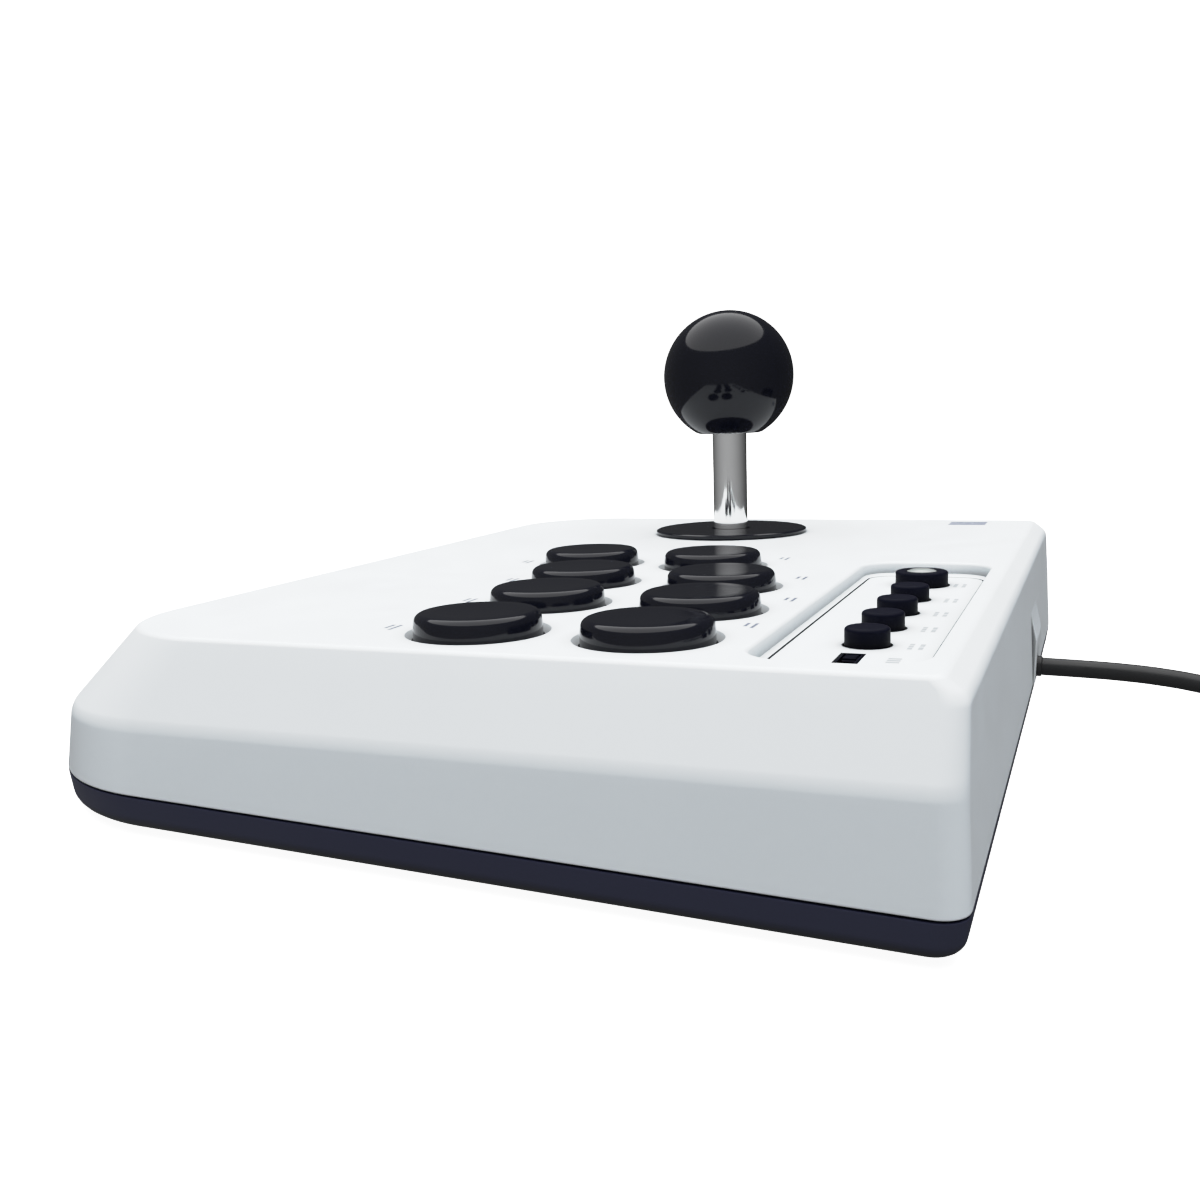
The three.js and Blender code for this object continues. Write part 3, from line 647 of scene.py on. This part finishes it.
def cable_boss():
    """A flat pad round the cable's exit, whose upper part leans into the back wall."""
    inside, face = BACK - WALL, BACK + BOSS["stand"]
    low, high = BOSS["low"], BOSS["high"]
    side = [(inside, low), (face, low), (face, high - BOSS_SLOPE["height"]),
            (face - BOSS_SLOPE["depth"], high), (inside, high)]
    boss = loft("boss", [[(x, y, z) for y, z in side] for x in (BOSS["left"], BOSS["right"])])
    return modified(boss, "BEVEL", width=BOSS["edge"] * MM, segments=3, limit_method="NONE")


def cable_hole():
    """A stepped hole through the back wall, wider on the inside."""
    low, high = (Vector(corner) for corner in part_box("cable_grommet"))
    middle = (low + high) / 2 / MM
    along_y = Matrix.Translation((middle.x, BACK, middle.z)) @ Matrix.Rotation(math.pi / 2, 4, "X")
    mouth, inside = CABLE_HOLE["mouth"], CABLE_HOLE["inside"]
    profile = [(0, -9), (mouth, -9), (mouth, 0.9), (inside, 0.9), (inside, 9), (0, 9)]
    return turned("cable_hole", profile, along_y, 48)


def add_top_shell():
    shell = top_body("top_shell_skin", 0, SEAM + GAP, 0, bevels=TOP_BEVELS)
    cut(shell, top_body("hollow", WALL, SEAM - 1, WALL))
    cut(shell, rounded_plate("backing", *RECESS_BACKING, PANEL), operation="UNION")
    for node in CAPS:
        collar = Place(node.replace("cap", "collar"))
        cut(shell, hole_cutter(node, collar.radius + GAP, COUNTERSINK_RADIUS))
    stick_hole = [(0, -6), (STICK_HOLE_RADIUS, -6), (STICK_HOLE_RADIUS, 2), (0, 2)]
    cut(shell, turned("stick_hole", stick_hole, Place("stick_shaft").matrix))
    cut(shell, recess_cutter())
    plate = Place("control_plate")
    low, high = plate.low_corner, plate.high_corner
    seat_low = tuple(value - PLATE_GAP for value in low)
    seat_high = (high[0] + PLATE_GAP, high[1] + PLATE_GAP, 0)
    cut(shell, rounded_plate("plate_seat", seat_low, seat_high, 5.3, PANEL))
    window_low = (low[0] + PLATE_LEDGE, low[1] + PLATE_LEDGE, -7)
    window_high = (high[0] - PLATE_LEDGE, high[1] - PLATE_LEDGE, 0)
    cut(shell, rounded_plate("plate_window", window_low, window_high, 3, PANEL))
    cut(shell, cable_boss(), operation="UNION")
    cut(shell, cable_hole())
    finished(smooth(shell), "shell_white", "case", "top_shell")


def add_bottom_shell():
    shell = loft("bottom_shell_skin", [
        case_outline(FOOT_INSET, 0, lambda y: FOOT_HEIGHT),
        case_outline(NO_INSET, 0, lambda y: SEAM),
    ], bevels=[(1, 0.2, 2), (0, 2.4, 6)])
    hollow = loft("hollow", [
        case_outline(FOOT_INSET, WALL, lambda y: FOOT_HEIGHT + WALL),
        case_outline(NO_INSET, WALL, lambda y: SEAM + 1),
    ])
    cut(shell, hollow)
    for i in range(1, 5):
        screw, foot = Place(f"case_screw_{i}", Matrix()), Place(f"foot_{i}", Matrix())
        cut(shell, turned("screw_hole", SCREW_HOLE, screw.matrix, 48))
        cut(shell, turned("foot_seat", FOOT_SEAT, foot.matrix, 64))
    finished(smooth(shell), "shell_dark", "case", "bottom_shell")


def add_feet():
    for i in range(1, 5):
        foot = Place(f"foot_{i}", Matrix())
        radius, high = foot.radius, foot.high
        profile = [(0, 0.25), (3.2, 0.25, 0.3), (3.8, 0, 0.3), (radius, 0, 0.5), (radius, high), (0, high)]
        piece = turned(f"rubber_foot_{i}", profile, foot.matrix, 64)
        finished(smooth(piece), "foot_rubber", "case", f"foot_{i}")


def add_screws():
    for i in range(1, 5):
        place = Place(f"case_screw_{i}", Matrix())
        profile = [(0, 1.3), (3, 1.3, 0.35), (3, 2.1), (1.2, 2.1), (1.2, 16), (0, 17)]
        screw = turned(f"screw_{i}", profile, place.matrix, 40)
        for turn in (0, math.pi / 2):
            across = place.matrix @ Matrix.Rotation(turn, 4, "Z")
            cut(screw, box_piece("slot", (-1.7, -0.32, 0.5), (1.7, 0.32, 1.75), across))
        finished(smooth(screw), "steel", "case", f"case_screw_{i}")


# ------------------------------------------------------------------ buttons


# A cap's core radius, and its thickness at the side and at the roof.
CAP = {"core": 2.5, "skin": 1.5, "roof": 1.9}
# The height and lean of a cap's side, its edge's fillet, and the width and depth of its crown.
CAP_EDGE = {"side": 2.4, "draft": 0.3, "fillet": 1.4, "crown": 3.4, "dish": 0.15}
SLEEVE_DROP = 0.8


def add_cap(node, place):
    """A hollow cap on a core, with a slightly drafted side, a round edge and a faintly dished crown."""
    radius, low, high = place.radius, place.low, place.high
    roof, edge = high - CAP["roof"], high - 0.02
    profile = [
        (0, low), (CAP["core"], low, 0.3), (CAP["core"], roof), (radius - CAP["skin"], roof),
        (radius - CAP["skin"], low), (radius, low), (radius, high - CAP_EDGE["side"], 8),
        (radius - CAP_EDGE["draft"], edge, CAP_EDGE["fillet"]), (radius - CAP_EDGE["crown"], edge, 8),
        (0, high - CAP_EDGE["dish"]),
    ]
    piece = turned(node.replace("cap", "top"), profile, place.matrix, 128)
    finished(smooth(piece, 40), "button_black", body_holding(node), node)


def add_sleeve(node, inner):
    place = Place(node)
    low, high = place.low, place.high - SLEEVE_DROP
    profile = [(inner, low), (place.radius, low), (place.radius, high, 0.1), (inner, high, 0.1), (inner, low)]
    piece = turned(node.replace("collar", "sleeve"), profile, place.matrix, 96)
    finished(smooth(piece), "inner_black", "case", node)


def add_buttons():
    for node in CAPS:
        place = Place(node)
        add_cap(node, place)
        add_sleeve(node.replace("cap", "collar"), place.radius + GAP)


def option_profile(place, soft):
    radius, low, high = place.radius, place.low, place.high
    return [(0, low), (radius - 1.2, low, 0.3), (radius, low + 0.5), (radius, high, soft), (0, high)]


def add_option_strip():
    plate = Place("control_plate")
    low, high = plate.low_corner, plate.high_corner
    strip = rounded_plate("option_plate", low, high, 5, PANEL, bevel=0.07)
    for node in (*OPTIONS, "home_button"):
        place = Place(node)
        hole = place.radius + 0.4
        cut(strip, turned("hole", [(0, -9), (hole, -9), (hole, 2), (0, 2)], place.matrix))
    slider = Place("slide_switch_body")
    low, high = slider.low_corner, slider.high_corner
    cut(strip, box_piece("slot", (low[0] - GAP, low[1] - GAP, -9), (high[0] + GAP, high[1] + GAP, 2), PANEL))
    finished(smooth(strip), "shell_white", "case", "control_plate")
    for node in OPTIONS:
        place = Place(node)
        piece = turned(node.replace("button", "cap"), option_profile(place, 0.55), place.matrix, 64)
        finished(smooth(piece, 40), "inner_black", body_holding(node), node)
    add_home_button()
    add_slide_switch()


def add_home_button():
    place, lens = Place("home_button"), Place("home_lens")
    cap = turned("home_cap", option_profile(place, 0.5), place.matrix, 80)
    seat = lens.radius + 0.15
    seat_low = lens.low - GAP
    cut(cap, turned("seat", [(0, seat_low), (seat, seat_low), (seat, 3), (0, 3)], place.matrix, 80))
    finished(smooth(cap, 40), "inner_black", "home", "home_button")
    profile = [(0, lens.low), (lens.radius, lens.low), (lens.radius, place.high - 0.05, 0.2),
               (1.5, lens.high - 0.12, 3), (0, lens.high)]
    finished(smooth(turned("home_window", profile, place.matrix, 80), 50), "lens", "home", "home_lens")


def add_slide_switch():
    body, knob = Place("slide_switch_body"), Place("slide_switch_knob")
    low, high = body.low_corner, body.high_corner
    housing = box_piece("switch_housing", low, high, PANEL, bevel=0.12)
    wall = 0.3
    well_low, well_high = (low[0] + wall, low[1] + wall, low[2] + 1.2), (high[0] - wall, high[1] - wall, 2)
    cut(housing, box_piece("well", well_low, well_high, PANEL))
    finished(smooth(housing), "inner_black", "case", "slide_switch_body")
    low, high = knob.low_corner, knob.high_corner
    slab = box_piece("switch_knob", low, (high[0], high[1], high[2] - 0.35), PANEL, bevel=0.15)
    for x in (low[0] + 0.5, (low[0] + high[0]) / 2 - 0.25, high[0] - 1.0):
        rib_low, rib_high = (x, low[1] + 0.1, high[2] - 0.5), (x + 0.5, high[1] - 0.1, high[2])
        cut(slab, box_piece("rib", rib_low, rib_high, PANEL, bevel=0.1), operation="UNION")
    finished(smooth(slab), "inner_black", "slider_knob", "slide_switch_knob")


# ------------------------------------------------------------------ joystick


def add_ball():
    place = Place("ball_top")
    radius = place.radius
    middle = place.high - radius
    bottom = place.low
    start = math.asin((bottom - middle) / radius)
    bore, mouth = 3.1, 6.5
    edge = radius * math.cos(start)
    profile = [(0, 43.5), (bore, 43.5), (bore, 31), (mouth, 31), (mouth, bottom, 0.35), (edge - 0.35, bottom)]
    profile += [(radius * math.cos(angle), middle + radius * math.sin(angle))
                for angle in np.linspace(start + 0.03, math.pi / 2 - 0.02, 44)]
    profile.append((0, place.high))
    ball = turned("ball_grip", profile, place.matrix, 128)
    finished(smooth(ball, 40), "ball_black", "stick", "ball_top")


def add_shaft():
    """A slim core, with a wider sleeve from just above the pivot up to the ball."""
    place = Place("stick_shaft")
    sleeve, core, sleeve_low, sleeve_high = place.radius, 2.8, -9.8, 30.7
    profile = [
        (0, place.low), (3, place.low, 0.4), (3, sleeve_low), (sleeve, sleeve_low, 0.3),
        (sleeve, sleeve_high, 0.4), (core, sleeve_high), (core, place.high), (0, place.high),
    ]
    finished(smooth(turned("lever_shaft", profile, place.matrix, 96)), "chrome", "stick", "stick_shaft")


def add_dust_washer():
    place = Place("dust_washer")
    hole = 5.1
    profile = [(hole, place.low), (place.radius, place.low, 0.15), (place.radius, place.high - 0.25, 0.25),
               (place.radius - 0.6, place.high, 0.6), (hole, place.high, 0.25), (hole, place.low)]
    washer = turned("sliding_washer", profile, place.matrix, 128)
    finished(smooth(washer, 45), "button_black", "washer", "dust_washer")


# ------------------------------------------------------------------ printed marks

PRINT_HEIGHT = 0.03
EMBLEM_PLACE = (-89.9, 59)


def flat_bar(x, y, length, width, height=PRINT_HEIGHT):
    return [(x - length / 2, y - width / 2, height), (x + length / 2, y - width / 2, height),
            (x + length / 2, y + width / 2, height), (x - length / 2, y + width / 2, height)]


def printed(name, quads, slot):
    points = [point for quad in quads for point in quad]
    faces = [tuple(range(i, i + 4)) for i in range(0, len(points), 4)]
    finished(mesh_object(name, points, faces, PANEL), slot, "case")


def add_marks():
    """Plain marks beside the buttons, in place of any lettering."""
    beside = []
    for i, node in enumerate(CAPS):
        cap = Place(node)
        x, y = (cap.x, cap.y - 16.2) if i < 4 else (cap.x - 13.3, cap.y + 12.5)
        beside += [flat_bar(x, y + 0.7, 4.2, 0.6), flat_bar(x - 0.6, y - 0.7, 3, 0.6)]
    printed("panel_marks", beside, "print_slate")
    floor = PRINT_HEIGHT - RECESS["depth"]
    strip = []
    for node in (*OPTIONS, "home_button"):
        place = Place(node)
        y = place.y + 7.4
        strip += [flat_bar(place.x + step, y - 0.8, 1.1, 0.7, floor) for step in (-1.6, 0, 1.6)]
        strip += [flat_bar(place.x + step, y + 0.8, 1.8, 0.7, floor) for step in (-1.2, 1.2)]
    slider = Place("slide_switch_body")
    strip += [flat_bar(slider.x + step, slider.y + 6.5, 0.7, 1.9, floor) for step in (-1.3, 0, 1.3)]
    printed("strip_marks", strip, "print_grey")
    x, y = EMBLEM_PLACE
    printed("corner_emblem", [flat_bar(x + step, y, 1.6, 9.6) for step in (-3, 0, 3)], "print_dark")


# ------------------------------------------------------------------ stage and light


def add_stage():
    """A wide, plain, pale floor, which the camera sees and which throws no light back on the object."""
    reach = 3000
    corners = [(-reach, -reach, 0), (reach, -reach, 0), (reach, reach, 0), (-reach, reach, 0)]
    floor = mesh_object("floor", corners, [(0, 1, 2, 3)])
    nodes = Nodes("floor_paper")
    nodes.set(
        Base_Color=nodes.tinted(nodes.noise(300), (0.9, 0.9, 0.9), (0.92, 0.92, 0.92)),
        Roughness=0.9,
        Specular_IOR_Level=0.1,
        Emission_Color=(1, 1, 1, 1),
        Emission_Strength=1.45,
    )
    floor.data.materials.append(nodes.material)
    floor.visible_diffuse = False
    floor.visible_glossy = False


def aimed(name, data, location, target):
    light = bpy.data.objects.new(name, data)
    light.location = location
    light.rotation_euler = (Vector(target) - Vector(location)).to_track_quat("-Z", "Y").to_euler()
    SCENE.collection.objects.link(light)
    return light


def add_lights():
    """A large softbox overhead, and a broad fill that shows only on matt surfaces."""
    softbox = bpy.data.lights.new("overhead_softbox", "AREA")
    softbox.shape = "ELLIPSE"
    softbox.size, softbox.size_y = 2.3, 2.25
    softbox.energy = 25
    location = Vector((-0.12, -0.31, 1.08))
    light = aimed("overhead_softbox", softbox, location, location - Vector((0, 0, 1)))
    light.rotation_euler.z += math.radians(22)
    fill = bpy.data.lights.new("broad_fill", "SUN")
    fill.energy = 1.9
    fill.angle = math.radians(80)
    light = aimed("broad_fill", fill, Vector((0.12, 0.1, 0.985)), (0, 0, 0))
    light.visible_glossy = False
    add_room()
    tone_curve()


def add_room():
    """White behind the object, and dim all round it.

    It is lighter towards the back, and in reflections towards the camera's side.
    """
    world = bpy.data.worlds.new("studio")
    world.use_nodes = True
    tree = world.node_tree
    nodes, links = tree.nodes, tree.links

    def background(colour, strength):
        made = nodes.new("ShaderNodeBackground")
        made.inputs["Color"].default_value = (*colour, 1)
        made.inputs["Strength"].default_value = strength
        return made

    def mixed(factor, first, second):
        made = nodes.new("ShaderNodeMixShader")
        links.new(factor, made.inputs[0])
        links.new(first.outputs[0], made.inputs[1])
        links.new(second.outputs[0], made.inputs[2])
        return made

    direction = nodes.new("ShaderNodeSeparateXYZ")
    links.new(nodes.new("ShaderNodeTexCoord").outputs["Generated"], direction.inputs[0])

    def graded(axis, colour, low, high):
        """Light that grows from low to high along an axis of the room."""
        made = background(colour, 1)
        ramp = nodes.new("ShaderNodeMapRange")
        links.new(direction.outputs[axis], ramp.inputs["Value"])
        for socket, value in zip(("From Min", "From Max", "To Min", "To Max"), (-1, 1, low, high)):
            ramp.inputs[socket].default_value = value
        links.new(ramp.outputs["Result"], made.inputs["Strength"])
        return made

    path = nodes.new("ShaderNodeLightPath").outputs
    around = graded("Y", (0.94, 0.97, 1), 0.08, 0.4)
    reflected = graded("X", (0.95, 0.965, 0.99), 0.04, 0.38)
    unseen = mixed(path["Is Glossy Ray"], around, reflected)
    shown = mixed(path["Is Camera Ray"], unseen, background((1, 1, 1), 2))
    links.new(shown.outputs[0], nodes["World Output"].inputs["Surface"])
    SCENE.world = world


def tone_curve():
    """A soft shoulder, so that white plastic under a strong light keeps its shape."""
    view = SCENE.view_settings
    view.view_transform = "Standard"
    view.use_curve_mapping = True
    curves = view.curve_mapping
    curves.white_level = (1.8, 1.8, 1.8)
    curve = curves.curves[3]
    for place in ((0.2, 0.36), (0.405, 0.725), (0.7, 0.9)):
        curve.points.new(*place)
    curves.update()


def add_grommet():
    low, high = (Vector(corner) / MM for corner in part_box("cable_grommet"))
    middle = (low + high) / 2
    matrix = Matrix.Translation((middle.x, 0, middle.z)) @ Matrix.Rotation(math.pi / 2, 4, "X")
    neck, shank, flange = BUSHING["neck"], BUSHING["shank"], BUSHING["flange"]
    face, rim, step, seat = -high.y, -low.y, -BACK + 1, -BACK + 3.6
    profile = [(0, face), (neck, face, 0.3), (neck, step, 0.1), (shank, step), (shank, seat), (flange, seat),
               (flange, rim), (0, rim)]
    finished(smooth(turned("cable_bushing", profile, matrix, 48)), "cable_jacket", "case", "cable_grommet")


def dress_inner_nodes():
    """The CAD pieces that stay get their slot's material."""
    slots = {row["node"]: row["material_slot"] for row in frame["record"]["subparts"]}
    for name, node in NODES.items():
        node.data.materials.clear()
        node.data.materials.append(MATERIALS[slots[name]])


add_camera()
dress_inner_nodes()
add_cable()
add_top_shell()
add_bottom_shell()
add_feet()
add_screws()
add_buttons()
add_option_strip()
add_ball()
add_shaft()
add_dust_washer()
add_grommet()
add_marks()
add_stage()
add_lights()
